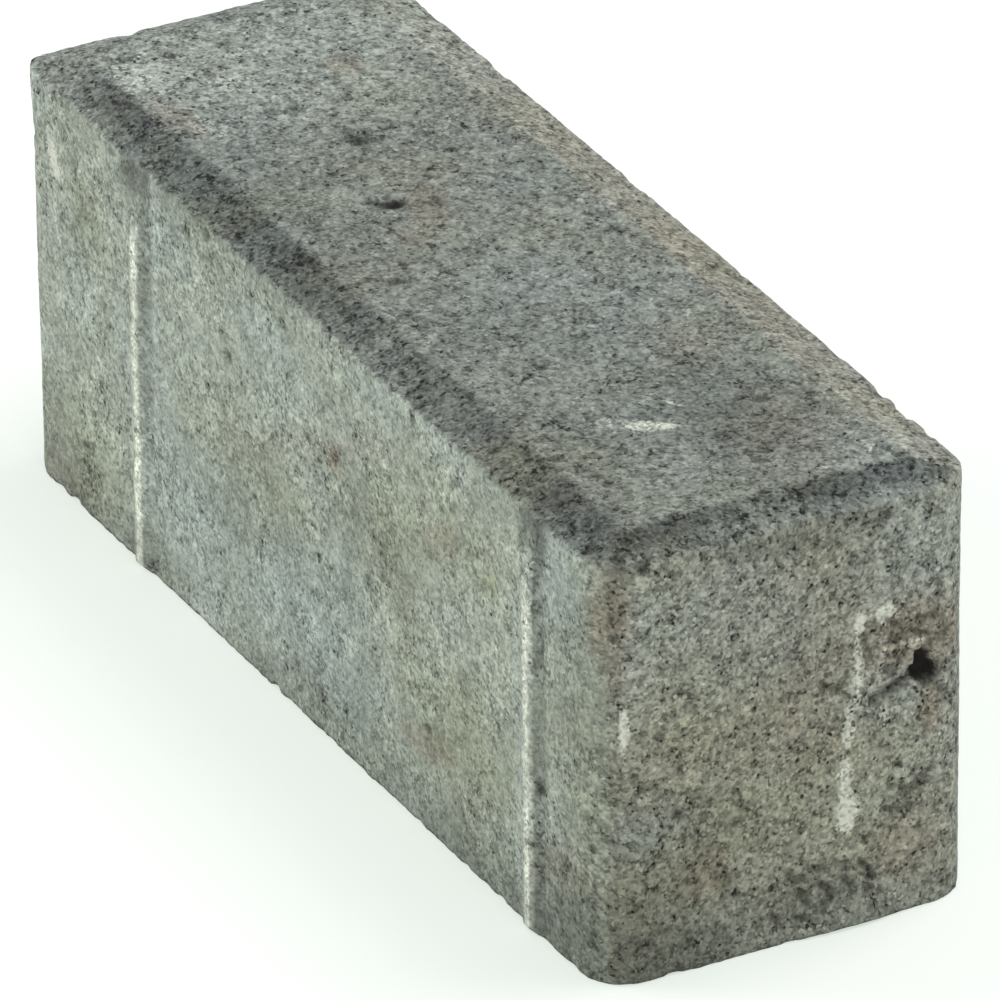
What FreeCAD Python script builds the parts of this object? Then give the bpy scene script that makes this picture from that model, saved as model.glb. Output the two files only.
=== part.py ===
import FreeCAD, Part
import os
import Sketcher

# Concrete paver of the thick kind: one piece of dry concrete, pressed and
# vibrated in a steel mould and pushed out of it. Length along X, width along
# Y, laid height along Z; origin at the middle of the bed face. Millimetres.

doc = FreeCAD.newDocument("concrete_paver")

sheet = doc.addObject("Spreadsheet::Sheet", "sizes")
sizes = [
    # the block
    ("paver_length", "210.0"),     # along X
    ("paver_width", "70.0"),       # between the long sides, ribs left out
    ("paver_height", "80.0"),      # bed face to wearing face
    ("corner_radius", "8.5"),      # upright corners of the mould
    # the shallow bevel the press plate leaves round the wearing face
    ("bevel_run", "8.0"),          # in from the sides
    ("bevel_drop", "2.4"),         # down from the wearing face
    ("wedge_over", "2.0"),         # how far the cutting wedges stand clear of the block
    # spacer ribs, two down each long side
    ("rib_stand", "1.3"),          # how far a crest stands off the side
    ("rib_crest", "2.6"),          # flat along the crest
    ("rib_flank", "2.5"),          # each flank, measured along X
    ("rib_root", "1.0"),           # how deep a rib is rooted in the block
    ("rib_top_gap", "5.0"),        # plain side between the bevel and a rib
    ("rib_far_inset", "45.0"),     # crest middle from the end it is far from
    ("rib_near_inset", "24.0"),    # crest middle from the end it is near to
]
for row, (word, number) in enumerate(sizes, start=1):
    sheet.set("A%d" % row, word)
    sheet.set("B%d" % row, number)
    sheet.setAlias("B%d" % row, word)
doc.recompute()

paver = doc.addObject("PartDesign::Body", "paver")
paver.Label = "paver"
paver.Placement = FreeCAD.Placement()


def origin_feature(role):
    """One of the body's own origin planes or axes."""
    return [f for f in paver.Origin.OriginFeatures if f.Role == role][0]


def new_sketch(name, plane):
    """A sketch on one of the body's own origin planes."""
    sketch = paver.newObject("Sketcher::SketchObject", name)
    sketch.AttachmentSupport = [(origin_feature(plane), "")]
    sketch.MapMode = "FlatFace"
    return sketch


def loop(sketch, points):
    """Closed run of straight lines through the points; gives the line numbers."""
    first = sketch.GeometryCount
    count = len(points)
    for k in range(count):
        start = FreeCAD.Vector(*points[k], 0)
        end = FreeCAD.Vector(*points[(k + 1) % count], 0)
        sketch.addGeometry(Part.LineSegment(start, end), False)
    for k in range(count):
        after = first + (k + 1) % count
        sketch.addConstraint(Sketcher.Constraint("Coincident", first + k, 2, after, 1))
    return [first + k for k in range(count)]


def size(sketch, kind, ends, guess, rule):
    """A distance between two points, worked out by a rule on the sheet."""
    number = sketch.addConstraint(Sketcher.Constraint(kind, *ends, guess))
    sketch.setExpression("Constraints[%d]" % number, rule)


ORIGIN = (-1, 1)

# the plain block
outline = new_sketch("outline", "XY_Plane")
south, east, north, west = loop(outline, [(-105, -35), (105, -35), (105, 35), (-105, 35)])
for line in (south, north):
    outline.addConstraint(Sketcher.Constraint("Horizontal", line))
for line in (east, west):
    outline.addConstraint(Sketcher.Constraint("Vertical", line))
outline.addConstraint(Sketcher.Constraint("Symmetric", south, 1, north, 1, *ORIGIN))
size(outline, "DistanceX", (south, 1, south, 2), 210, "sizes.paver_length")
size(outline, "DistanceY", (east, 1, east, 2), 70, "sizes.paver_width")

block = paver.newObject("PartDesign::Pad", "block")
block.Profile = outline
block.setExpression("Length", "sizes.paver_height")
outline.Visibility = False
doc.recompute()

# rounded upright corners
upright = []
for number, edge in enumerate(block.Shape.Edges, start=1):
    if abs(edge.Vertexes[0].Z - edge.Vertexes[1].Z) > 1:
        upright.append("Edge%d" % number)
corners = paver.newObject("PartDesign::Fillet", "corners")
corners.Base = (block, upright)
corners.setExpression("Radius", "sizes.corner_radius")
doc.recompute()

# shallow bevel round the wearing face: a wedge cut along each side
OVER = "sizes.wedge_over"
for name, plane, half, mirror_plane in (
        ("long_wedge", "YZ_Plane", "sizes.paver_width / 2", "XZ_Plane"),
        ("end_wedge", "XZ_Plane", "sizes.paver_length / 2", "YZ_Plane")):
    wedge = new_sketch(name, plane)
    reach = (sheet.paver_width if plane == "YZ_Plane" else sheet.paver_length) / 2
    top, over = sheet.paver_height, sheet.wedge_over
    wedge_rules = [
        (reach - sheet.bevel_run, half + " - sizes.bevel_run", top, "sizes.paver_height"),
        (reach, half, top - sheet.bevel_drop, "sizes.paver_height - sizes.bevel_drop"),
        (reach + over, half + " + " + OVER,
         top - sheet.bevel_drop, "sizes.paver_height - sizes.bevel_drop"),
        (reach + over, half + " + " + OVER, top + over, "sizes.paver_height + " + OVER),
        (reach - sheet.bevel_run, half + " - sizes.bevel_run",
         top + over, "sizes.paver_height + " + OVER),
    ]
    lines = loop(wedge, [(rule[0], rule[2]) for rule in wedge_rules])
    for line, (across, across_rule, up, up_rule) in zip(lines, wedge_rules):
        size(wedge, "DistanceX", ORIGIN + (line, 1), across, across_rule)
        size(wedge, "DistanceY", ORIGIN + (line, 1), up, up_rule)
    cut = paver.newObject("PartDesign::Pocket", name + "_cut")
    cut.Profile = wedge
    cut.SideType = "Symmetric"
    cut.Type = "ThroughAll"
    wedge.Visibility = False
    doc.recompute()
    opposite = paver.newObject("PartDesign::Mirrored", name + "_opposite")
    opposite.Originals = [cut]
    opposite.MirrorPlane = (origin_feature(mirror_plane), [""])
    paver.Tip = opposite
    doc.recompute()

# spacer ribs: one far from its end, one near to it, so that the ribs of a
# neighbour turned either way pass beside them
ribs = new_sketch("ribs", "XY_Plane")
HALF = "sizes.rib_crest / 2"
BASE = "(sizes.rib_crest / 2 + sizes.rib_flank)"
FACE = "sizes.paver_width / 2"
corner_rules = [
    (-1, BASE, FACE + " - sizes.rib_root"),
    (-1, BASE, FACE),
    (-1, HALF, FACE + " + sizes.rib_stand"),
    (1, HALF, FACE + " + sizes.rib_stand"),
    (1, BASE, FACE),
    (1, BASE, FACE + " - sizes.rib_root"),
]
for end, inset in ((-1, "rib_far_inset"), (1, "rib_near_inset")):
    middle = end * (sheet.paver_length / 2 - getattr(sheet, inset))
    half, base = sheet.rib_crest / 2, sheet.rib_crest / 2 + sheet.rib_flank
    face = sheet.paver_width / 2
    reach = [base, base, half, half, base, base]
    depth = [face - sheet.rib_root, face, face + sheet.rib_stand]
    depth = depth + depth[::-1]
    points = [(middle + rule[0] * reach[k], -depth[k]) for k, rule in enumerate(corner_rules)]
    lines = loop(ribs, points)
    for k, (side, across, out) in enumerate(corner_rules):
        point = (lines[k], 1)
        along = "sizes.paver_length / 2 - sizes.%s %s %s" % (
            inset, "+" if side == end else "-", across)
        ends = ORIGIN + point if end > 0 else point + ORIGIN
        size(ribs, "DistanceX", ends, abs(points[k][0]), along)
        size(ribs, "DistanceY", point + ORIGIN, depth[k], out)

rib_pad = paver.newObject("PartDesign::Pad", "rib_pad")
rib_pad.Profile = ribs
rib_pad.setExpression("Length", "sizes.paver_height - sizes.bevel_drop - sizes.rib_top_gap")
ribs.Visibility = False
doc.recompute()

# the other long side has the same ribs, turned half a turn about the middle
both_sides = paver.newObject("PartDesign::PolarPattern", "both_sides")
both_sides.Originals = [rib_pad]
both_sides.Axis = (origin_feature("Z_Axis"), [""])
both_sides.Angle = 360
both_sides.Occurrences = 2
paver.Tip = both_sides
doc.recompute()

for thing in doc.Objects:
    if "Invalid" in thing.State or "Error" in thing.State:
        raise RuntimeError("%s did not build: %s" % (thing.Name, thing.State))
    shape = getattr(thing, "Shape", None)
    if shape is not None and (shape.isNull() or not shape.isValid()):
        raise RuntimeError("%s has no sound shape" % thing.Name)

os.makedirs("parts", exist_ok=True)
for body in [thing for thing in doc.Objects if thing.TypeId == "PartDesign::Body"]:
    solid = body.Shape
    if len(solid.Solids) != 1:
        raise RuntimeError("%s is not one solid" % body.Label)
    solid.exportStep("parts/%s.step" % body.Label)
    box = solid.BoundBox
    print("%s  volume %.1f mm3  x %.2f..%.2f  y %.2f..%.2f  z %.2f..%.2f" % (
        body.Label, solid.Volume, box.XMin, box.XMax, box.YMin, box.YMax, box.ZMin, box.ZMax))
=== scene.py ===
import math
import random

import bmesh
import bpy
import numpy as np
from mathutils import Euler, Matrix, Vector, kdtree, noise


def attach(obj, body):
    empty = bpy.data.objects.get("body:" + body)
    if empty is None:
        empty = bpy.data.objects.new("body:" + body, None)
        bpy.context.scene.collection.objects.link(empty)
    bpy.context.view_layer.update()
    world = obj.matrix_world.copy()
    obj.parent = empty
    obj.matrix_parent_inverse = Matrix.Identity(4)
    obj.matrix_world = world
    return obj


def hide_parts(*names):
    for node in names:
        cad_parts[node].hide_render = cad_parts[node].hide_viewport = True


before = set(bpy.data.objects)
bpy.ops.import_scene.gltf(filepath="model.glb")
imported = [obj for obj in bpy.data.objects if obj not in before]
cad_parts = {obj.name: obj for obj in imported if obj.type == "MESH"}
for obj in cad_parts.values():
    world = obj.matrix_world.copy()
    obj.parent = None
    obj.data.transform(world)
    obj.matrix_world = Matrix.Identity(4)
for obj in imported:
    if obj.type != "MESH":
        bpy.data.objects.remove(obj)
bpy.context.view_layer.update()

# ---------------------------------------------------------------------------
# The view. A long lens a little over two metres off, so the block shows almost
# no perspective; it looks down on the near end and along the front long side.
# ---------------------------------------------------------------------------
MM = 0.001
LENS, SENSOR = 504.0, 36.0
AZIMUTH, ELEVATION, ROLL = math.radians(62.10), math.radians(28.62), math.radians(-0.50)
AIM = Vector((63.3, -31.1, 70.8)) * MM
AWAY = 2278.3 * MM

camera = bpy.data.objects.new("camera", bpy.data.cameras.new("camera"))
bpy.context.scene.collection.objects.link(camera)
camera.data.lens = LENS
camera.data.sensor_width = SENSOR
camera.data.clip_start, camera.data.clip_end = 0.1, 30.0
turned = Euler((math.pi / 2 - ELEVATION, 0, AZIMUTH)).to_matrix() @ Matrix.Rotation(ROLL, 3, "Z")
camera.matrix_world = Matrix.Translation(AIM + turned @ Vector((0, 0, AWAY))) @ turned.to_4x4()
bpy.context.scene.camera = camera
bpy.context.scene.view_settings.view_transform = "Standard"

# ---------------------------------------------------------------------------
# The block. One piece of dry, low-slump concrete, pressed and vibrated in a
# steel mould and pushed out of it at once: the long sides are dragged by the
# mould, the wearing face and the ends stay open and gritty.
# ---------------------------------------------------------------------------
LENGTH, WIDTH, HEIGHT = 210.0, 70.0, 80.0
CORNER = 8.5                    # radius of the upright corners
BEVEL_RUN, BEVEL_DROP = 8.0, 2.4
GRIT = 0.88                     # one mesh square is about one sand grain

# a cube of the block's size, cut into squares of one grain each
bm = bmesh.new()
bmesh.ops.create_cube(bm, size=1.0)
bmesh.ops.translate(bm, vec=(0, 0, 0.5), verts=bm.verts)
bmesh.ops.scale(bm, vec=(LENGTH, WIDTH, HEIGHT), verts=bm.verts)
for axis, reach in enumerate((LENGTH, WIDTH, HEIGHT)):
    whole = [e for e in bm.edges
             if abs(e.verts[0].co[axis] - e.verts[1].co[axis]) > 0.9 * reach]
    bmesh.ops.subdivide_edges(bm, edges=whole, cuts=round(reach / GRIT) - 1, use_grid_fill=True)

mesh = bpy.data.meshes.new("paver_skin")
bm.to_mesh(mesh)
bm.free()
count = len(mesh.vertices)


def of_points(name):
    """A vector at every point of the skin: its place, co, or its normal."""
    values = np.zeros(count * 3)
    mesh.vertices.foreach_get(name, values)
    return values.reshape(-1, 3)


co = of_points("co")


def ease(low, high, value):
    """0 below low, 1 above high, smooth between."""
    t = np.clip((value - low) / (high - low), 0, 1)
    return t * t * (3 - 2 * t)


def lower_of(a, b, soft):
    """The smaller of two heights, rounded where they cross."""
    t = np.clip(0.5 + 0.5 * (b - a) / soft, 0, 1)
    return b * (1 - t) + a * t - soft * t * (1 - t)


# rounded upright corners: each corner square of the grid becomes a quarter disc;
# the mould is less worn at one of them, so that one grows squarer towards the top
SQUARER_RISE, SQUARER_TOP = 1.4, 1.2    # taken off its radius on the way up, then near the top
sign = np.sign(co)
far = np.abs(co)
squarer = SQUARER_RISE * co[:, 2] / HEIGHT + SQUARER_TOP * ease(68, HEIGHT, co[:, 2])
radius = CORNER - squarer * (co[:, 0] < 0) * (co[:, 1] < 0)
u = np.clip((far[:, 0] - (LENGTH / 2 - radius)) / radius, 0, None)
v = np.clip((far[:, 1] - (WIDTH / 2 - radius)) / radius, 0, None)
in_corner = (u > 0) & (v > 0)
big, small = np.maximum(u, v), np.minimum(u, v)
angle = np.where(big > 0, math.pi / 4 * small / np.where(big > 0, big, 1), 0)
angle = np.where(u >= v, angle, math.pi / 2 - angle)
around = (LENGTH / 2 - radius + radius * big * np.cos(angle),
          WIDTH / 2 - radius + radius * big * np.sin(angle))
for axis in (0, 1):
    co[:, axis] = np.where(in_corner, sign[:, axis] * around[axis], co[:, axis])

# the bevel of the press plate lowers the rim of the wearing face; the sides below it follow
from_end = LENGTH / 2 - np.abs(co[:, 0])
from_side = WIDTH / 2 - np.abs(co[:, 1])
MITRE_SOFT, RIM_SOFT = 0.3, 0.7     # how round the bevel's mitres and its inner line are
rim = HEIGHT - BEVEL_DROP
top = lower_of(rim + BEVEL_DROP * from_end / BEVEL_RUN,
               rim + BEVEL_DROP * from_side / BEVEL_RUN, MITRE_SOFT)
top = lower_of(top, np.full(count, HEIGHT), RIM_SOFT)
co[:, 2] *= top / HEIGHT
mesh.vertices.foreach_set("co", co.ravel())

# the arrises are not sharp in concrete: the mesh is eased wherever it turns more than this
TURN = 0.30                     # radians
bm = bmesh.new()
bm.from_mesh(mesh)
bm.normal_update()
edges = [e for e in bm.edges if len(e.link_faces) == 2 and e.calc_face_angle(0) > TURN]
bmesh.ops.smooth_vert(bm, verts=list({v for e in edges for v in e.verts}), factor=0.5,
                      use_axis_x=True, use_axis_y=True, use_axis_z=True)
bm.to_mesh(mesh)
bm.free()
co, normal = of_points("co"), of_points("normal")

# which face each point belongs to
X, Y, Z = co[:, 0], co[:, 1], co[:, 2]
face = {
    "front": ease(0.55, 0.85, -normal[:, 1]),
    "back": ease(0.55, 0.85, normal[:, 1]),
    "near_end": ease(0.55, 0.85, normal[:, 0]),
    "far_end": ease(0.55, 0.85, -normal[:, 0]),
    "top": ease(0.45, 0.75, normal[:, 2]),
    "bed": ease(0.45, 0.75, -normal[:, 2]),
}
side = np.maximum(face["front"], face["back"])
end = np.maximum(face["near_end"], face["far_end"])
from_edge = np.minimum(LENGTH / 2 - np.abs(X), WIDTH / 2 - np.abs(Y))
sloped = 1 - ease(BEVEL_RUN - 1.6, BEVEL_RUN + 0.6, from_edge)
bevel = face["top"] * sloped
wearing = face["top"] * (1 - sloped)


def grit(size, stretch=(1, 1, 1), shift=0.0, octaves=1):
    """Smooth noise at every point, about -1 to 1, with lumps of the given size in millimetres."""
    scaled = co / (size * np.array(stretch)) + shift
    if octaves == 1:
        return np.array([noise.noise(p) for p in map(Vector, scaled)])
    return np.array([noise.fractal(p, 1.0, 2.0, octaves) for p in map(Vector, scaled)])


sway = grit(26, shift=3.1)
lump = grit(7, shift=11.7, octaves=2)
grain = grit(2.1, shift=5.3)
fine = grit(1.15, shift=8.9)
drag = grit(1.5, stretch=(1, 1, 14), shift=2.2)
drag_wide = grit(4.5, stretch=(1, 1, 12), shift=7.7)
ragged = 0.55 * grit(3.4, shift=31.0) + 0.45 * grit(1.4, shift=37.0)

# the open faces are gritty, the dragged sides nearly flat with upright lines
open_face = np.clip(wearing + end + face["bed"], 0, 1)
relief = 0.10 * sway
relief += open_face * (0.10 * lump + 0.13 * grain + 0.08 * fine)
relief += bevel * (0.08 * lump + 0.08 * grain + 0.06 * fine)
relief += side * (0.06 * lump + 0.06 * grain + 0.04 * fine + 0.05 * drag + 0.04 * drag_wide)
BOW = 0.45                      # the back bows out a little, less so towards the near end
relief += BOW * face["back"] * (1 - ease(60, 95, X))

# places on each face in millimetres, as seen when facing it: across, then up
flat = {
    "front": (X, Z), "back": (-X, Z),
    "near_end": (Y, Z), "far_end": (-Y, Z),
    "top": (X, Y), "bed": (X, -Y),
}

# spacer ribs: a flat crest and two flanks, fading out under the bevel; the
# flank away from the drag is torn a little deeper. The crest is painted pale, partly
# laitance and partly a painted highlight; the trough by the lee flank is painted dark,
# painted shade with some dirt
RIB_STAND, RIB_CREST, RIB_FLANK = 1.15, 2.6, 2.5
rib_crest = np.zeros(count)
rib_lee = np.zeros(count)
waver = grit(9, stretch=(1, 1, 1.5), shift=21.0)
for name, middle, lee_darkness in (("front", -60.0, 0.85), ("front", 81.0, 1.2),
                           ("back", -60.0, 1.0), ("back", 81.0, 1.0)):
    off = flat[name][0] - middle - 0.25 * waver
    rise = np.clip((RIB_CREST / 2 + RIB_FLANK - np.abs(off)) / RIB_FLANK, 0, 1)
    fade = 1 - ease(64, 73, Z + 1.5 * waver)
    worn = 1 - 0.12 * np.abs(waver) - 0.06 * np.abs(fine)
    relief += face[name] * rise * fade * RIB_STAND * worn
    lee = face[name] * ease(0.9, 2.3, off) * (1 - ease(3.2, 6.0, off))
    relief -= 0.22 * lee
    # painted shade with some dirt in the trough by the lee flank
    lee_shade = lee_darkness * (0.62 + 0.38 * ease(44, 62, Z)) * (1 - 0.25 * np.abs(waver))
    rib_lee = np.maximum(rib_lee, lee * lee_shade)
    # the crest is painted pale: partly laitance, partly a painted highlight
    crest_pale_and_lit = face[name] * (1 - ease(RIB_CREST / 2 - 1.0, RIB_CREST / 2 + 0.3, np.abs(off - 0.10)))
    crest_fade = (1 - 0.85 * ease(63, 70, Z + 2 * waver)) * (1 - ease(74, 77, Z))
    rib_crest = np.maximum(rib_crest, crest_pale_and_lit * crest_fade)

# air holes and pulled-out grains, more of them on the open faces
PIT_PLACES, ARRIS_CHIPS = 3400, 150
tree = kdtree.KDTree(count)
for k, p in enumerate(co):
    tree.insert(Vector(p), k)
tree.balance()
hollow = np.zeros(count)
dice = random.Random(41)


def pit(place, reach, depth):
    """A round-bottomed hole pressed into the skin at a place, with painted shade as deep as the
    hole.
    """
    for p, k, away in tree.find_range(Vector(place), reach * 1.3):
        t = max(0.0, 1 - (away / reach) ** 2 + 0.25 * grain[k])
        relief[k] -= depth * min(t, 1.0)
        hollow[k] = max(hollow[k], min(1.0, t) * min(1.0, depth / 0.5))


picks = sorted(dice.sample(range(count), PIT_PLACES))
for k in picks:
    chance = open_face[k] + 0.55 * bevel[k] + 0.30 * side[k]
    if dice.random() < chance:
        larger = dice.random() ** 9
        pit(co[k], 0.7 + 1.2 * larger, 0.10 + 0.45 * larger)

# worn arrises: small chips along every edge of the block
arris = [k for k in range(count) if max(abs(normal[k])) < 0.80 and not in_corner[k]]
for k in dice.sample(arris, min(len(arris), ARRIS_CHIPS)):
    larger = dice.random() ** 5
    pit(co[k], 0.8 + 1.4 * larger, 0.06 + 0.45 * larger)

# Marks placed on each face in millimetres. The layers are clean cement film
# (fair), with a painted highlight on one rib flank; lime bloom (pale); grime (dark); three
# stains; painted black shadow, mostly in open marks (hole); and painted shade at the foot (foot).
LAYERS = ("fair", "pale", "dark", "rust", "olive", "blue", "hole", "foot")
layer = {name: np.zeros(count) for name in LAYERS}


def patch(on, across, up, half_across, half_up, turn=0.0, soft=0.5, rough=0.5):
    """Strength, 0 to 1, of an oval mark with a ragged edge on one face."""
    a, b = flat[on][0] - across, flat[on][1] - up
    c, s = math.cos(math.radians(turn)), math.sin(math.radians(turn))
    away = np.hypot((a * c + b * s) / half_across, (b * c - a * s) / half_up) + rough * ragged
    return face[on] * (1 - ease(1 - soft, 1 + soft, away))


def tint(name, strength, *spot, **more):
    """Adds a mark to a colour layer."""
    layer[name] = np.maximum(layer[name], strength * patch(*spot, **more))


def sink(depth, *spot, **more):
    """Presses a mark into the surface and paints shade into it."""
    amount = patch(*spot, **more)
    relief[:] -= depth * amount
    hollow[:] = np.maximum(hollow, amount * min(1.0, depth / 0.6))


def crack(depth, half, darkness, on, *path):
    """A thin crack, open at the surface, along a path of places on one face, with black shadow
    painted in it.
    """
    across, up = flat[on]
    away = np.full(count, 99.0)
    for (a, b), (c, d) in zip(path, path[1:]):
        along = (across - a) * (c - a) + (up - b) * (d - b)
        along = np.clip(along / ((c - a) ** 2 + (d - b) ** 2), 0, 1)
        away = np.minimum(away, np.hypot(across - a - along * (c - a), up - b - along * (d - b)))
    amount = face[on] * (1 - ease(0.5 * half, 1.6 * half, away + 0.35 * ragged))
    relief[:] -= depth * amount
    layer["hole"][:] = np.maximum(layer["hole"], darkness * amount * (0.75 + 0.6 * ragged))


# the press plate left the bevel along the back paler than the other three
along_back = ease(-1.5, 1.5, (LENGTH / 2 - np.abs(X)) - (WIDTH / 2 - Y)) * (Y > 0)
along_far_end = ease(-1.5, 1.5, (WIDTH / 2 - np.abs(Y)) - (LENGTH / 2 + X)) * (X < 0)
pressed = face["top"] * (1 - ease(BEVEL_RUN - 0.2, BEVEL_RUN + 2.0, from_edge + 0.5 * ragged))
pale_rim = pressed * along_back
dark_rim = pressed * (1 - along_back) * (1 - 0.6 * along_far_end)
along_near_end = ease(-1.5, 1.5, (WIDTH / 2 - np.abs(Y)) - (LENGTH / 2 - X)) * (X > 0)
outer = 0.40 + 0.22 * along_near_end
dark_rim *= 1 - outer * (1 - ease(0.5, 4.5 + 1.5 * along_near_end, from_edge + 1.8 * ragged))
dark_rim *= 1 - 0.45 * patch("top", 32, -33, 24, 6, soft=0.8)
dark_rim *= 1 - 0.30 * patch("top", -96, -31, 14, 8, soft=0.8)

# wearing face
sink(1.0, "top", -23, -6, 3.4, 1.7, turn=59, rough=0.35)
sink(0.5, "top", -47, 0, 4.2, 1.8)
sink(0.4, "top", 3, -18.5, 1.2, 2.2)
sink(0.4, "top", 19, -7, 1.3, 2.0)
sink(0.4, "top", -21, -21, 2.4, 1.2)
sink(0.4, "top", 68, 15, 1.6, 1.6)
sink(0.4, "top", 53, 22, 2.0, 1.2)
sink(0.4, "top", 84, 7, 1.6, 1.2)
sink(0.3, "top", 52, -20, 1.4, 1.4)
sink(0.3, "top", -9, 11, 1.2, 1.2)
tint("hole", 1.0, "top", -23.4, -5.6, 3.0, 1.2, turn=59, soft=0.35, rough=1.0)
tint("hole", 0.7, "top", -25.2, -8.4, 1.6, 0.8, turn=59, soft=0.4, rough=0.9)
tint("hole", 0.6, "top", -45, 1.2, 2.4, 0.8, turn=59, soft=0.5, rough=0.9)
tint("hole", 0.6, "top", 2.5, -18.0, 2.2, 0.7, turn=59, soft=0.5, rough=0.9)
tint("hole", 0.5, "top", -88.5, -3.0, 1.6, 0.8, turn=59, soft=0.5, rough=0.9)
tint("hole", 0.4, "top", -73.4, 12.0, 2.0, 0.8, turn=59, soft=0.6, rough=0.9)
tint("hole", 0.4, "top", -47, 0, 2.6, 0.8, soft=0.6)
tint("pale", 0.8, "top", 69, -3.5, 1.5, 2.2, turn=-20)
tint("pale", 0.75, "top", 67, -7, 1.8, 3.2, turn=-35)
tint("pale", 0.4, "top", 64, -11, 2.4, 4.0, turn=-35, soft=0.8)
tint("pale", 0.5, "top", 62, 1.5, 2.2, 1.2)
tint("pale", 0.45, "top", 91, 22, 2.6, 1.2)
tint("pale", 0.35, "top", 94, 12, 1.6, 1.4)
tint("pale", 0.35, "top", -85, -3, 2.5, 1.8)
tint("pale", 0.45, "top", -75, -9, 4.0, 3.0, soft=0.8)
tint("pale", 0.45, "top", -83, -22, 7.0, 4.0, soft=0.8)
tint("pale", 0.30, "top", -46, 18, 2.2, 1.6)
tint("pale", 0.30, "top", -63, 29, 2.4, 1.2)
tint("pale", 0.35, "top", -62, -20, 6.0, 3.0, soft=0.8)
tint("pale", 0.35, "top", 73, -19, 1.6, 1.6)
tint("rust", 0.5, "top", -72, 11, 4.0, 3.0)
tint("rust", 0.45, "top", -18, -1, 7.0, 3.5, turn=-20)
tint("rust", 0.40, "top", -10, -8, 3.0, 3.0)
tint("rust", 0.35, "top", 78, 12, 14, 9, soft=0.8)
tint("rust", 0.25, "top", 45, 12, 9, 6, soft=0.8)
tint("rust", 0.25, "top", 25, 31, 60, 4, soft=0.8)
tint("rust", 0.45, "top", -68, -23, 8, 3)
tint("blue", 0.5, "top", -19, 19, 4, 8, soft=0.8)
tint("blue", 0.4, "top", 11, 2, 9, 8, soft=0.8)
tint("blue", 0.6, "top", 66, 9, 7, 4)
tint("dark", 0.35, "top", 38, -4, 40, 9, soft=0.8)
tint("dark", 1.0, "top", 69, 8, 17, 12, soft=0.8)
tint("dark", 0.5, "top", -28, -20, 24, 6, soft=0.8)
tint("dark", 0.4, "top", -60, -22, 12, 5, soft=0.8)
tint("dark", 0.5, "top", -20, 20, 5, 8, soft=0.8)
tint("dark", 0.4, "top", 80, 8, 16, 10, soft=0.9)
tint("dark", 0.4, "top", -47, -1, 6, 3.5, soft=0.8)
tint("dark", 0.45, "top", 70, -17, 15, 9, soft=0.8)
tint("dark", 0.4, "top", -95, 27, 12, 9, soft=0.8)
tint("dark", 0.8, "top", -45, -31, 19, 6, soft=0.8)
tint("dark", 0.5, "top", 64, 11, 12, 9, soft=0.8)
tint("dark", 0.3, "top", 5, -16, 16, 9, soft=0.8)
tint("fair", 0.60, "top", -95, 0, 34, 60, soft=0.5, rough=0.2)
tint("fair", 0.85, "top", -86, -18, 12, 9, soft=0.6)
tint("fair", 0.6, "top", -72, -4, 14, 9, soft=0.7)
tint("fair", 0.4, "top", 92, 20, 9, 9, soft=0.8)

# long side
sink(0.5, "front", 11.5, 55, 1.6, 2.0, turn=-30)
sink(0.3, "front", 30, 44, 2.4, 3.2, turn=-20)
sink(0.3, "front", 19, 48, 2.0, 3.0)
sink(0.3, "front", 55, 48, 3.5, 1.4, turn=-20)
sink(0.3, "front", -12, 38, 2.6, 1.2)
sink(0.3, "front", -18, 72, 5.0, 1.6)
sink(0.3, "front", 17, 72, 4.0, 1.4)
sink(0.3, "front", -80, 8, 2.2, 1.8)
sink(0.3, "front", 67, 57, 1.4, 1.0)
tint("hole", 0.42, "front", 80.0, 76, 3.5, 4.5, soft=0.8)
tint("hole", 0.42, "front", -62.5, 75.5, 3.5, 4.0, soft=0.8)
tint("hole", 0.14, "front", 97, 8, 11, 9, soft=0.8)
tint("pale", 1.3, "front", -92, 64.5, 1.6, 3.4, turn=28, rough=0.4)
tint("pale", 0.8, "front", -91, 62.5, 3.0, 2.2, rough=0.7)
tint("pale", 0.6, "front", -93, 66, 2.0, 2.0)
for up in (55, 50, 43, 38, 33, 28):
    tint("pale", 0.55, "front", -90 + 2.0 * math.sin(up), up, 1.0, 2.4)
tint("pale", 0.35, "front", -88, 38, 3.0, 5.0)
tint("pale", 0.25, "front", 92, 69, 6.0, 7.0, soft=0.7)
tint("pale", 0.25, "front", -5, 27, 12.0, 3.0, turn=20, soft=0.7)
tint("pale", 0.35, "front", -102, 76, 4, 5, soft=0.8)
tint("rust", 0.9, "front", 11.5, 55, 2.2, 3.2, turn=-30)
tint("rust", 0.22, "front", 3, 53, 26, 2.4, turn=24, soft=0.8)
tint("rust", 0.20, "front", 25, 64, 14, 2.4, turn=24, soft=0.8)
tint("rust", 0.5, "front", 45, 17, 9, 3, turn=15)
tint("rust", 0.4, "front", 50, 58, 7, 3, turn=30)
tint("rust", 0.5, "front", 90, 15, 9, 5, turn=15, soft=0.8)
tint("rust", 0.4, "front", -92, 3, 16, 3)
tint("olive", 0.9, "front", 67, 58, 3.4, 2.2, turn=25)
tint("olive", 0.5, "front", -80, 59, 6, 6)
tint("olive", 0.7, "front", 55, 24, 17, 12, soft=0.8)
tint("olive", 0.7, "front", 45, 57, 22, 9, turn=20, soft=0.8)
tint("olive", 0.5, "front", -80, 12, 12, 9, soft=0.8)
tint("olive", 0.5, "front", -12, 40, 12, 5, soft=0.8)
tint("olive", 0.4, "front", 100, 45, 6, 40, soft=0.8)
tint("blue", 1.0, "front", -4, 23, 20, 9, turn=20, soft=0.8)
tint("blue", 1.0, "front", 8, 16, 16, 9, soft=0.8)
tint("blue", 0.9, "front", -36, 20, 15, 13, soft=0.9)
tint("blue", 0.7, "front", -50, 68, 11, 5, soft=0.8)
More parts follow.
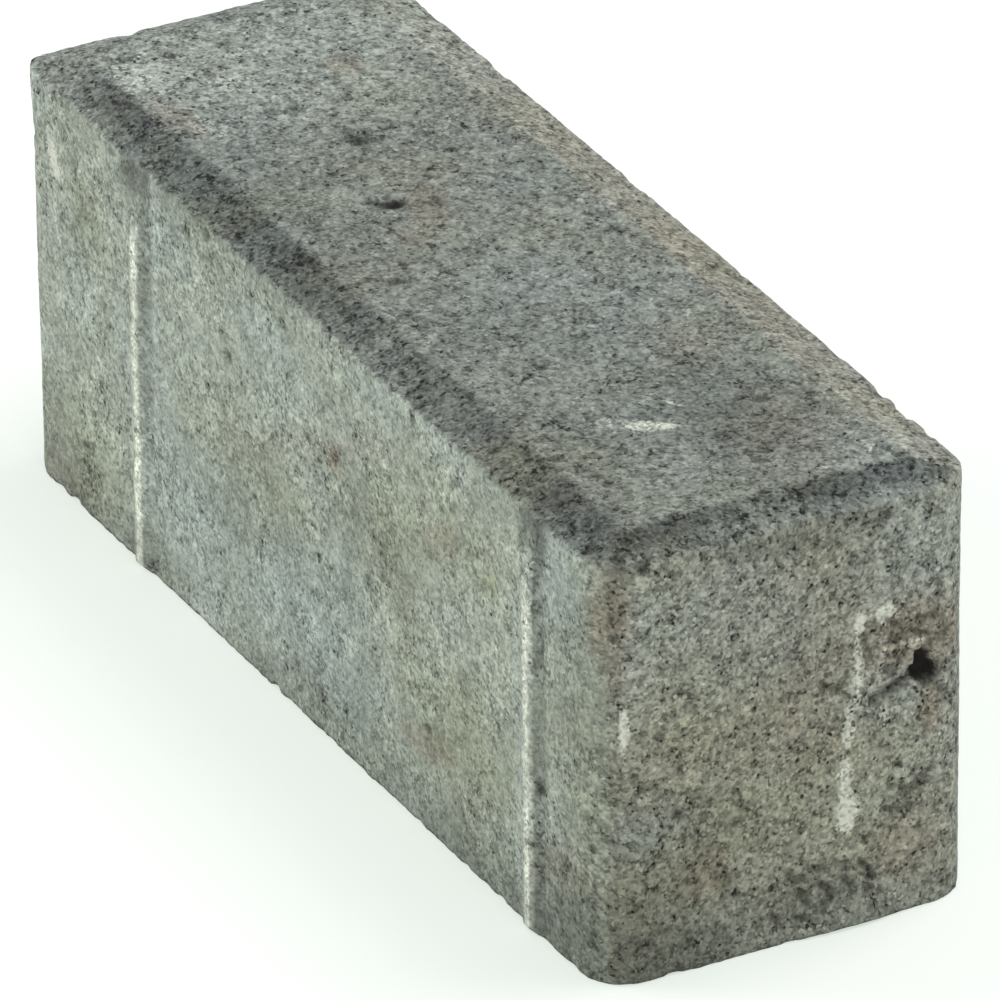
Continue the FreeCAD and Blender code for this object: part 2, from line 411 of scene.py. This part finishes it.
tint("blue", 0.6, "front", -12, 67, 10, 4, soft=0.8)
tint("blue", 0.6, "front", 90, 68, 8, 8, soft=0.8)
tint("blue", 0.5, "front", -84, 46, 7, 9, soft=0.8)
tint("blue", 0.4, "front", 50, 76, 40, 5, soft=0.8)
tint("dark", 0.6, "front", 23, 48, 9, 7, soft=0.8)
tint("dark", 0.9, "front", -60, 75, 4.5, 4.5)
tint("dark", 0.7, "front", 83, 74, 3.0, 5.0)
tint("dark", 0.5, "front", -96, 12, 6, 9, soft=0.8)
tint("dark", 0.5, "front", -80, 8, 5, 5, soft=0.8)
tint("dark", 0.50, "front", 98, 30, 11, 40, soft=0.45, rough=0.25)
tint("dark", 1.00, "front", 97, 4, 15, 15, soft=0.6)
tint("dark", 0.60, "front", 99, 4, 10, 12, soft=0.6)
tint("dark", 0.55, "front", 93, 57, 5, 12, soft=0.8)
tint("dark", 0.55, "front", 62, 3, 26, 8, soft=0.8)
tint("dark", 0.45, "front", 20, 44, 18, 9, soft=0.8)
tint("dark", 0.35, "front", -18, 34, 16, 9, soft=0.8)
tint("dark", 0.35, "front", -66, 62, 7, 16, soft=0.8)
tint("dark", 0.60, "front", -40, 78, 34, 3.6, soft=0.6)
tint("dark", 1.0, "front", 83, 76, 4.5, 6.0, soft=0.6)
tint("dark", 0.5, "front", -86, 58, 10, 9, soft=0.8)
tint("dark", 0.55, "front", 13, 9, 20, 5, soft=0.8)
tint("dark", 0.5, "front", -36, 74, 13, 7, soft=0.8)
tint("dark", 0.5, "front", -60, 72, 5, 6, soft=0.6)
tint("dark", 0.30, "front", -88, 70, 12, 9, soft=0.8)
# painted shade at the foot, towards the near corner
tint("foot", 0.9, "front", 95, 5, 13, 10, soft=0.7)
tint("fair", 0.8, "front", 45, 56, 10, 11, soft=0.8)
tint("fair", 0.7, "front", -65.5, 48, 3, 14, soft=0.8)
tint("fair", 1.0, "front", 86.5, 70, 4, 6, soft=0.8)
tint("fair", 1.0, "front", -101, 76, 8, 7, soft=0.7)
tint("fair", 0.7, "front", -95, 45, 6, 26, soft=0.8)
tint("fair", 0.8, "front", -55, 36, 5, 40, soft=0.7)
tint("fair", 1.0, "front", -55, 45, 5, 9, soft=0.8)
tint("fair", 0.9, "front", -35, 2, 11, 5, soft=0.8)
# painted highlight on the lit left flank of the near rib
tint("fair", 0.8, "front", 78, 45, 4, 9, soft=0.8)
tint("fair", 0.9, "front", -8, 5, 7, 5, soft=0.8)
tint("fair", 0.7, "front", -42, 8, 14, 8, soft=0.8)
tint("fair", 0.6, "front", 90, 72, 9, 6, soft=0.7)
# painted highlight on the lit left flank of the near rib
tint("fair", 1.0, "front", 78.0, 30, 2.6, 34, soft=0.7)
tint("fair", 0.4, "front", -35, 58, 12, 10, soft=0.8)
tint("fair", 0.4, "front", -10, 12, 16, 9, soft=0.8)
tint("fair", 0.4, "front", 60, 69, 14, 7, soft=0.8)

# near end
sink(2.6, "near_end", 25.0, 43.9, 2.3, 2.0, soft=0.25, rough=0.45)
sink(1.6, "near_end", 24.3, 47.0, 1.0, 1.6, soft=0.3)
crack(0.8, 0.9, 1.0, "near_end", (23.0, 44.2), (20.5, 42.6), (17.2, 41.9), (15.2, 41.4))
crack(0.5, 0.6, 0.7, "near_end", (5.6, 47.0), (8.2, 45.0), (10.6, 43.5))
crack(0.5, 0.6, 0.7, "near_end", (15.0, 51.0), (18.1, 51.3), (22.0, 51.8), (25.2, 51.2))
crack(0.4, 0.6, 0.6, "near_end", (17.3, 56.0), (20.4, 53.4), (23.5, 52.0))
crack(0.4, 0.6, 0.5, "near_end", (28.0, 43.8), (31.0, 44.6))
for path in (((19.6, 46.6), (21.6, 49.4)), ((26.2, 49.2), (29.4, 50.6)),
             ((27.4, 41.2), (29.2, 38.4)), ((13.6, 53.2), (14.2, 49.4)),
             ((17.4, 47.0), (19.2, 45.0)), ((23.6, 54.4), (27.0, 54.0))):
    crack(0.4, 0.7, 0.75, "near_end", *path)
crack(0.5, 0.6, 0.8, "near_end", (26.6, 26.1), (23.7, 24.3), (22.7, 22.2), (22.3, 20.0))
crack(0.5, 0.6, 0.8, "near_end", (18.3, 24.4), (20.8, 23.6), (22.7, 22.2))
crack(0.5, 0.6, 0.8, "near_end", (22.3, 20.0), (19.9, 19.6), (17.2, 20.7))
crack(0.4, 0.5, 0.6, "near_end", (19.3, 19.3), (19.4, 16.4))
for path in (((-0.4, 12.4), (2.4, 11.0)), ((4.4, 12.8), (6.6, 11.8)),
             ((8.4, 12.4), (11.2, 11.2)), ((13.2, 11.8), (15.2, 9.0), (14.2, 5.6)),
             ((1.6, 8.8), (3.2, 6.4)), ((10.0, 9.6), (11.4, 7.4)),
             ((5.8, 9.4), (7.8, 7.4), (6.2, 5.2)), ((-3.6, 6.2), (-1.6, 3.8)),
             ((0.8, 4.4), (3.6, 3.2))):
    crack(0.5, 0.7, 0.85, "near_end", *path)
sink(0.5, "near_end", 20.5, 43.5, 3.0, 1.2, turn=25)
sink(0.4, "near_end", 20.5, 21.6, 2.0, 1.4)
sink(0.3, "near_end", 8.5, 45, 2.6, 1.4, turn=-30)
sink(0.3, "near_end", 6.0, 48, 1.2, 1.6)
sink(0.3, "near_end", -19, 41, 1.6, 1.0)
sink(0.3, "near_end", -11, 26, 1.0, 3.0, turn=35)
tint("hole", 1.0, "near_end", 25.2, 43.5, 2.7, 2.1, soft=0.25, rough=0.6)
tint("hole", 1.0, "near_end", 24.4, 46.4, 1.3, 2.2, soft=0.3, rough=0.5)
tint("hole", 0.18, "near_end", -29, 5, 13, 11, soft=0.8)
tint("pale", 1.2, "near_end", -30.4, 47.6, 0.8, 4.4, rough=0.25)
tint("pale", 1.0, "near_end", 10.4, 21.5, 1.9, 3.6, rough=0.6)
tint("pale", 0.85, "near_end", 10.2, 28, 1.5, 5.5, rough=0.6)
tint("pale", 0.72, "near_end", 10.6, 37, 1.2, 5.5, rough=0.6)
tint("pale", 0.74, "near_end", 12.4, 48, 1.1, 6.5, rough=0.7)
tint("pale", 1.00, "near_end", 12.6, 56.5, 1.2, 2.2)
tint("pale", 1.00, "near_end", 17.4, 57, 1.8, 2.0, turn=-35)
tint("pale", 0.50, "near_end", 17.0, 51.0, 1.2, 3.0, rough=0.8)
tint("pale", 0.50, "near_end", 17.2, 38, 1.2, 2.4)
tint("pale", 0.60, "near_end", 22.6, 50.0, 2.6, 1.0)
tint("pale", 0.30, "near_end", 13.8, 7.6, 1.0, 2.6)
tint("pale", 0.30, "near_end", 3.5, 2.0, 4.0, 1.2)
tint("pale", 0.25, "near_end", -17.5, 40.5, 1.8, 1.0)
tint("rust", 1.0, "near_end", -33.5, 69, 3.6, 8.0, soft=0.7)
tint("rust", 0.9, "near_end", -33.5, 60, 3.0, 6.0, soft=0.8)
tint("rust", 0.9, "front", 103, 67, 3.0, 8.0, soft=0.7)
tint("rust", 0.8, "near_end", 23, 51, 9.0, 7.0, soft=0.8)
tint("rust", 0.7, "near_end", 26, 37, 2.2, 5.0)
tint("rust", 0.6, "near_end", -16, 17, 4.5, 4.5)
tint("rust", 0.5, "near_end", 20, 13, 7.0, 6.0, soft=0.8)
tint("rust", 0.4, "near_end", 4, 45, 12, 14, soft=0.9)
tint("olive", 0.5, "near_end", -25, 19, 5, 6, soft=0.8)
tint("olive", 0.5, "near_end", 2, 24, 20, 14, soft=0.9)
tint("olive", 0.4, "near_end", -12, 50, 14, 9, soft=0.9)
tint("blue", 0.8, "near_end", -4, 56, 11, 9, soft=0.9)
tint("blue", 0.6, "near_end", -20, 68, 16, 9, soft=0.9)
tint("blue", 0.6, "near_end", 22, 66, 12, 9, soft=0.9)
tint("blue", 0.7, "near_end", -28, 28, 8, 5, soft=0.8)
tint("dark", 0.5, "near_end", -28, 26, 9, 5, soft=0.8)
tint("dark", 1.0, "near_end", -27, 3, 17, 11, soft=0.7)
tint("dark", 0.8, "near_end", 5.5, 8, 9, 5.0, soft=0.7)
tint("dark", 0.55, "near_end", -25, 15, 18, 17, soft=0.8)
tint("dark", 0.70, "near_end", 2, 76, 20, 4.5, soft=0.6)
tint("dark", 0.35, "near_end", -33, 50, 3.5, 40, soft=0.5)
tint("dark", 0.8, "near_end", -31, 77, 3.5, 4.0)
tint("dark", 0.2, "near_end", 24, 47, 6, 6, soft=0.8)
# painted shade at the foot, towards the near corner
tint("foot", 0.8, "near_end", -24, 2, 20, 9, soft=0.8)
tint("fair", 0.40, "near_end", 30, 52, 10, 30, soft=0.7, rough=0.3)
tint("fair", 0.25, "near_end", 12, 26, 16, 14, soft=0.8)
tint("fair", 0.35, "near_end", 12, 3, 12, 5, soft=0.8)
tint("fair", 0.40, "near_end", -29, 60, 6, 14, soft=0.8)
tint("fair", 0.9, "near_end", 17, 43, 10, 7, soft=0.8)

# the faces turned away carry the same sorts of marks, strewn at random
DENTS = 9                       # on each of them
for on, wide, low, high, stains in (("back", 98, 4, 74, 26), ("far_end", 28, 4, 74, 11),
                                    ("bed", 98, -30, 30, 26)):
    for _ in range(stains):
        a, b = dice.uniform(-wide, wide), dice.uniform(low, high)
        kind = dice.choice(("blue", "olive", "rust", "dark", "blue", "olive", "pale"))
        grow = 0.35 if kind == "pale" else 1.0
        tint(kind, dice.uniform(0.3, 0.7), on, a, b, grow * dice.uniform(4, 15),
             grow * dice.uniform(3, 9), turn=dice.uniform(-30, 30), soft=0.8)
    for _ in range(DENTS):
        sink(dice.uniform(0.3, 0.7), on, dice.uniform(-wide, wide), dice.uniform(low, high),
             dice.uniform(1.0, 3.0), dice.uniform(0.8, 2.0), turn=dice.uniform(-40, 40))

# three chips out of the back arris of the wearing face, and a burr at the foot
# of the near end where wet mix was squeezed under the mould
BURR = 1.2                      # how far it stands out
for x, half, deep in ((79.5, 3.0, 0.9), (-60, 4.0, 0.7), (-12, 3.0, 0.5)):
    away = np.hypot((X - x) / half, (Y - WIDTH / 2) / 2.6) + 0.25 * ragged
    relief -= face["top"] * deep * (1 - ease(0.4, 1.0, away))
relief += BURR * patch("near_end", 11, 0, 8.0, 3.0, soft=0.6)

# crumbs lost from the arris where the front, the near end and the bevel meet, with black shadow
# painted into the gaps
ARRIS_HEIGHT = 77.0
for x, y, half, deep in ((97.0, -32.5, 1.8, 0.5), (102.0, -30.4, 2.1, 0.8),
                         (104.8, -27.0, 1.5, 0.5)):
    away = np.hypot(np.hypot(X - x, Y - y), 0.9 * (Z - ARRIS_HEIGHT)) / half + 0.3 * ragged
    lost = 1 - ease(0.5, 1.2, away)
    relief -= deep * lost
    layer["hole"] = np.maximum(layer["hole"], 0.75 * lost)

# painted shade: the sides and ends darken towards the foot, where they stand on the floor
foot_shade = np.clip(side + end, 0, 1) * (1 - ease(1, 12, Z + 4.0 * lump + 2.0 * sway))
layer["foot"] = np.maximum(layer["foot"], foot_shade)
layer["foot"] *= 1 - 0.9 * patch("front", -36, 3, 12, 6, soft=0.8)

# the pale film lies on the flats, not in the bevel
layer["fair"] *= 1 - dark_rim

co += normal * relief[:, None]
co[:, 2] = np.clip(co[:, 2], 0.0, HEIGHT)
co[:, 0] = np.clip(co[:, 0], -LENGTH / 2 - BURR, LENGTH / 2 + BURR)
mesh.vertices.foreach_set("co", (co * MM).ravel())
mesh.update()

layer.update(side=side, end=end, bed=face["bed"], dark_rim=dark_rim, pale_rim=pale_rim,
             hollow=hollow, rib_crest=rib_crest, rib_lee=rib_lee)
for name, amount in layer.items():
    spread = mesh.attributes.new(name, "FLOAT", "POINT")
    spread.data.foreach_set("value", np.clip(amount, 0, 1).astype(np.float32))

paver = bpy.data.objects.new("paver_block", mesh)
bpy.context.scene.collection.objects.link(paver)
mesh.shade_smooth()

# Pressed Portland-cement concrete with grey sand: a matt, open surface where
# each grain catches its own light, with dark pores between pale grains.
concrete = bpy.data.materials.new("pressed_concrete")
concrete.use_nodes = True
nodes, links = concrete.node_tree.nodes, concrete.node_tree.links
nodes.clear()


def add(kind, inputs=None, **settings):
    """One node: its settings, then its inputs, each a number, a colour or another node's output."""
    made = nodes.new(kind)
    for name, value in settings.items():
        setattr(made, name, value)
    for name, value in (inputs or {}).items():
        if isinstance(value, bpy.types.NodeSocket):
            links.new(value, made.inputs[name])
        else:
            made.inputs[name].default_value = value
    return made


def paint(text):
    """An sRGB hex colour as linear numbers."""
    parts = [int(text[k:k + 2], 16) / 255 for k in (1, 3, 5)]
    parts = [c / 12.92 if c <= 0.04045 else ((c + 0.055) / 1.055) ** 2.4 for c in parts]
    return (*parts, 1.0)


def lay_colour(over, name, strength, colour):
    """Lays one layer of the skin's colour over a tone, as strong as the skin's own layer says;
    besides stains, some layers are painted shade or a painted highlight.
    """
    amount = add("ShaderNodeAttribute", attribute_name=name).outputs["Fac"]
    amount = add("ShaderNodeMath", {0: amount, 1: strength}, operation="MULTIPLY").outputs[0]
    return add("ShaderNodeMix", {0: amount, 6: over, 7: paint(colour)}, data_type="RGBA").outputs[2]


place = add("ShaderNodeTexCoord").outputs["Object"]


def clouds(over, size, low, high, most, colour):
    """Lays a broad soft cast over a tone, in clouds of the given size in millimetres."""
    cloud = add("ShaderNodeTexNoise", {"Vector": place, "Scale": 1 / (size * MM), "Detail": 2.0})
    amount = add("ShaderNodeMapRange",
                 {0: cloud.outputs["Fac"], 1: low, 2: high, 3: 0.0, 4: most}).outputs[0]
    return add("ShaderNodeMix", {0: amount, 6: over, 7: paint(colour)}, data_type="RGBA").outputs[2]


def sand(size):
    """Packed grains of the given size in millimetres: three chance tones, 0 to 1, for each."""
    cell = add("ShaderNodeTexVoronoi", {"Vector": place, "Scale": 1 / (size * MM)}, feature="F1")
    return add("ShaderNodeSeparateColor", {0: cell.outputs["Color"]}).outputs


def lone_grains(contrast, chance, start, full, amount):
    """Makes the few grains whose chance tone is above start stand out, darker or paler."""
    picked = add("ShaderNodeMapRange", {0: chance, 1: start, 2: full, 3: 0.0, 4: amount}).outputs[0]
    return add("ShaderNodeMath", {0: contrast, 1: picked}, operation="ADD").outputs[0]


def scaled_by(contrast, amount, low, high, at_low, at_high):
    """Raises or lowers the grain's contrast as another amount goes from low to high."""
    scale = add("ShaderNodeMapRange", {0: amount, 1: low, 2: high, 3: at_low, 4: at_high})
    return add("ShaderNodeMath", {0: contrast, 1: scale.outputs[0]},
               operation="MULTIPLY").outputs[0]


# base tones: wearing face, long sides, ends, bed, and the press-plate bevels; those of
# the wearing face, long sides and ends are partly the concrete's own and partly painted
# light and shade, the long sides painted lighter and the wearing face darker
tone = lay_colour(paint("#737770"), "side", 1.0, "#969D91")
tone = lay_colour(tone, "end", 1.0, "#878779")
tone = lay_colour(tone, "bed", 1.0, "#7E7F76")
tone = lay_colour(tone, "dark_rim", 0.97, "#454844")
tone = lay_colour(tone, "pale_rim", 0.95, "#88887E")

# broad clouding between a blue-grey and an olive cast
tone = clouds(tone, 30, 0.35, 0.65, 0.14, "#8C9AA0")
tone = clouds(tone, 21, 0.45, 0.70, 0.20, "#84856A")

# this block's own stains, then painted shade at its foot, painted shade with some dirt beside its
# ribs, and the rib crests, pale partly from laitance and partly as a painted highlight
for name, strength, colour in (
        ("fair", 0.46, "#A5AEA8"), ("blue", 0.30, "#8F9EA2"), ("olive", 0.42, "#7C7F58"),
        ("rust", 0.58, "#75604C"), ("dark", 0.45, "#454A44"), ("foot", 0.32, "#555A52"),
        ("rib_lee", 0.55, "#484C48"), ("rib_crest", 0.88, "#D2D6C8")):
    tone = lay_colour(tone, name, strength, colour)

# grain: chance tones of coarse and fine sand over soft blotches, about 0 either way;
# real fine sand goes down to 0.1 mm, and is drawn this coarse because less would not show
COARSE_SAND, FINE_SAND = 1.15, 0.52
coarse, fine_sand = sand(COARSE_SAND), sand(FINE_SAND)
speckle = [(coarse[0], 0.52), (fine_sand[0], 0.80)]
for size, amount in ((1.1, 1.05), (2.6, 1.10), (7.0, 0.55)):
    blotch = add("ShaderNodeTexNoise", {"Vector": place, "Scale": 1 / (size * MM), "Detail": 1.0})
    speckle.append((blotch.outputs["Fac"], amount))
contrast = -0.5 * sum(amount for grain_tone, amount in speckle)
for grain_tone, amount in speckle:
    contrast = add("ShaderNodeMath", {0: grain_tone, 1: amount, 2: contrast},
                   operation="MULTIPLY_ADD").outputs[0]

# drag lines of the mould: upright streaks on the long sides only
long_side = add("ShaderNodeAttribute", attribute_name="side").outputs["Fac"]
dragged = add("ShaderNodeMapping", {"Vector": place, "Scale": (1.0, 1.0, 0.08)}).outputs[0]
streaks = add("ShaderNodeTexNoise", {"Vector": dragged, "Scale": 1 / (1.1 * MM), "Detail": 1.0})
streaks = add("ShaderNodeMath", {0: streaks.outputs["Fac"], 1: long_side},
              operation="MULTIPLY").outputs[0]
contrast = add("ShaderNodeMath", {0: streaks, 1: 0.30, 2: contrast},
               operation="MULTIPLY_ADD").outputs[0]

# lone dark and lone pale grains stand out of the rest
contrast = lone_grains(contrast, coarse[1], 0.90, 0.96, -0.26)
contrast = lone_grains(contrast, fine_sand[1], 0.88, 0.96, -0.40)
contrast = lone_grains(contrast, fine_sand[2], 0.90, 0.98, 0.42)

# the dragged sides are skinned over in places, and grain shows up more in the dark bevel
film = add("ShaderNodeTexNoise", {"Vector": place, "Scale": 1 / (13 * MM), "Detail": 1.0})
skinned = scaled_by(long_side, film.outputs["Fac"], 0.38, 0.60, 0.36, 0.0)
contrast = scaled_by(contrast, skinned, 0.0, 1.0, 1.0, 0.0)
in_dark_rim = add("ShaderNodeAttribute", attribute_name="dark_rim").outputs["Fac"]
contrast = scaled_by(contrast, in_dark_rim, 0.0, 1.0, 1.0, 1.35)
brightness = add("ShaderNodeMath", {0: contrast, 1: 1.0}, operation="ADD").outputs[0]

# painted shade in the hollows: the deeper the hollow, the more of its grains are darkened
shaded_grains = add("ShaderNodeAttribute", attribute_name="hollow").outputs["Fac"]
shaded_grains = add("ShaderNodeMath", {0: fine_sand[1], 1: 0.5, 2: shaded_grains},
            operation="MULTIPLY_ADD").outputs[0]
brightness = scaled_by(brightness, shaded_grains, 0.55, 1.2, 1.0, 0.35)
brightness = add("ShaderNodeMath", {0: brightness, 1: 0.06}, operation="MAXIMUM").outputs[0]
skin = add("ShaderNodeVectorMath", {0: tone, "Scale": brightness}, operation="SCALE").outputs[0]

# lime bloom whitens single grains, nearly all of them where it is thick
bloom = add("ShaderNodeAttribute", attribute_name="pale").outputs["Fac"]
bloom = add("ShaderNodeMath", {0: fine_sand[0], 1: 0.55, 2: bloom},
            operation="MULTIPLY_ADD").outputs[0]
bloom = add("ShaderNodeMapRange", {0: bloom, 1: 0.62, 2: 1.30, 3: 0.0, 4: 0.92}).outputs[0]
skin = add("ShaderNodeMix", {0: bloom, 6: skin, 7: paint("#D4D8CA")}, data_type="RGBA").outputs[2]
# painted black shadow in cracks, chips and open marks
skin = lay_colour(skin, "hole", 0.96, "#12100D")

# the sand stands up through the cement
SAND_STAND = 0.30
swell = add("ShaderNodeTexNoise", {"Vector": place, "Scale": 1 / (0.8 * MM), "Detail": 1.0})
rise = add("ShaderNodeMath", {0: coarse[0], 1: 0.35, 2: swell.outputs["Fac"]},
           operation="MULTIPLY_ADD").outputs[0]
bump = add("ShaderNodeBump", {"Strength": 0.45, "Distance": SAND_STAND * MM, "Height": rise})
shader = add("ShaderNodeBsdfPrincipled", {"Base Color": skin, "Roughness": 0.92, "IOR": 1.5,
                                          "Specular IOR Level": 0.25, "Normal": bump.outputs[0]})
add("ShaderNodeOutputMaterial", {"Surface": shader.outputs[0]})
mesh.materials.append(concrete)

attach(paver, "root")
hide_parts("paver")

# ---------------------------------------------------------------------------
# The floor and the light. A white table with soft daylight from the left of
# the long side; the table is bright to the eye but keeps the block's shadow.
# ---------------------------------------------------------------------------
FLOOR_HALF = 6.0                # metres
FLOOR_GAP = 0.05                # a hair under the bed, so the two never share a plane
bm = bmesh.new()
bmesh.ops.create_grid(bm, x_segments=1, y_segments=1, size=FLOOR_HALF)
floor_mesh = bpy.data.meshes.new("floor")
bm.to_mesh(floor_mesh)
bm.free()
floor = bpy.data.objects.new("floor", floor_mesh)
floor.location.z = -FLOOR_GAP * MM
bpy.context.scene.collection.objects.link(floor)

# Matt white painted board: it has no gloss, and shows as near white with a faint shadow.
table = bpy.data.materials.new("white_table")
table.use_nodes = True
nodes, links = table.node_tree.nodes, table.node_tree.links
nodes.clear()


def seen_directly():
    """1 for rays from the eye, off gloss or through glass, and 0 for the light's own bounces."""
    rays = add("ShaderNodeLightPath").outputs
    direct = rays["Is Camera Ray"]
    for other in ("Is Glossy Ray", "Is Transmission Ray"):
        direct = add("ShaderNodeMath", {0: direct, 1: rays[other]}, operation="MAXIMUM").outputs[0]
    return direct


seen = seen_directly()
plain = add("ShaderNodeBsdfDiffuse", {"Color": paint("#C4C6C2")})
faint = add("ShaderNodeBsdfDiffuse", {"Color": paint("#BAB3B8")})
glow = add("ShaderNodeEmission", {"Color": paint("#B8C5BA"), "Strength": 1.0})
shown = add("ShaderNodeAddShader", {0: faint.outputs[0], 1: glow.outputs[0]})
mixed = add("ShaderNodeMixShader", {0: seen, 1: plain.outputs[0], 2: shown.outputs[0]})
add("ShaderNodeOutputMaterial", {"Surface": mixed.outputs[0]})
floor_mesh.materials.append(table)

world = bpy.data.worlds.new("studio")
bpy.context.scene.world = world
world.use_nodes = True
nodes, links = world.node_tree.nodes, world.node_tree.links
nodes.clear()
seen = seen_directly()
ambient = add("ShaderNodeBackground", {"Color": (0.98, 1.0, 1.0, 1.0), "Strength": 0.55})
white = add("ShaderNodeBackground", {"Color": (1.0, 1.0, 1.0, 1.0), "Strength": 1.0})
mixed = add("ShaderNodeMixShader", {0: seen, 1: ambient.outputs[0], 2: white.outputs[0]})
add("ShaderNodeOutputWorld", {"Surface": mixed.outputs[0]})


LAMP_AWAY = 1.6                 # metres


def lamp(name, toward, size, power, colour):
    """A square soft lamp that looks at the middle of the block."""
    light = bpy.data.lights.new(name, "AREA")
    light.size, light.energy, light.color = size, power, colour
    held = bpy.data.objects.new(name, light)
    bpy.context.scene.collection.objects.link(held)
    middle = Vector((0, 0, HEIGHT / 2)) * MM
    direction = Vector(toward).normalized()
    held.location = middle + direction * LAMP_AWAY
    held.rotation_euler = direction.to_track_quat("Z", "Y").to_euler()


lamp("window", (-0.62, -0.72, 0.42), 0.8, 12.0, (1.0, 0.995, 0.98))
lamp("bounce_card", (1.0, -0.25, 0.30), 1.2, 10.0, (1.0, 0.99, 0.97))
lamp("top_box", (0.10, 0.42, 1.0), 0.8, 12.0, (1.0, 1.0, 0.99))
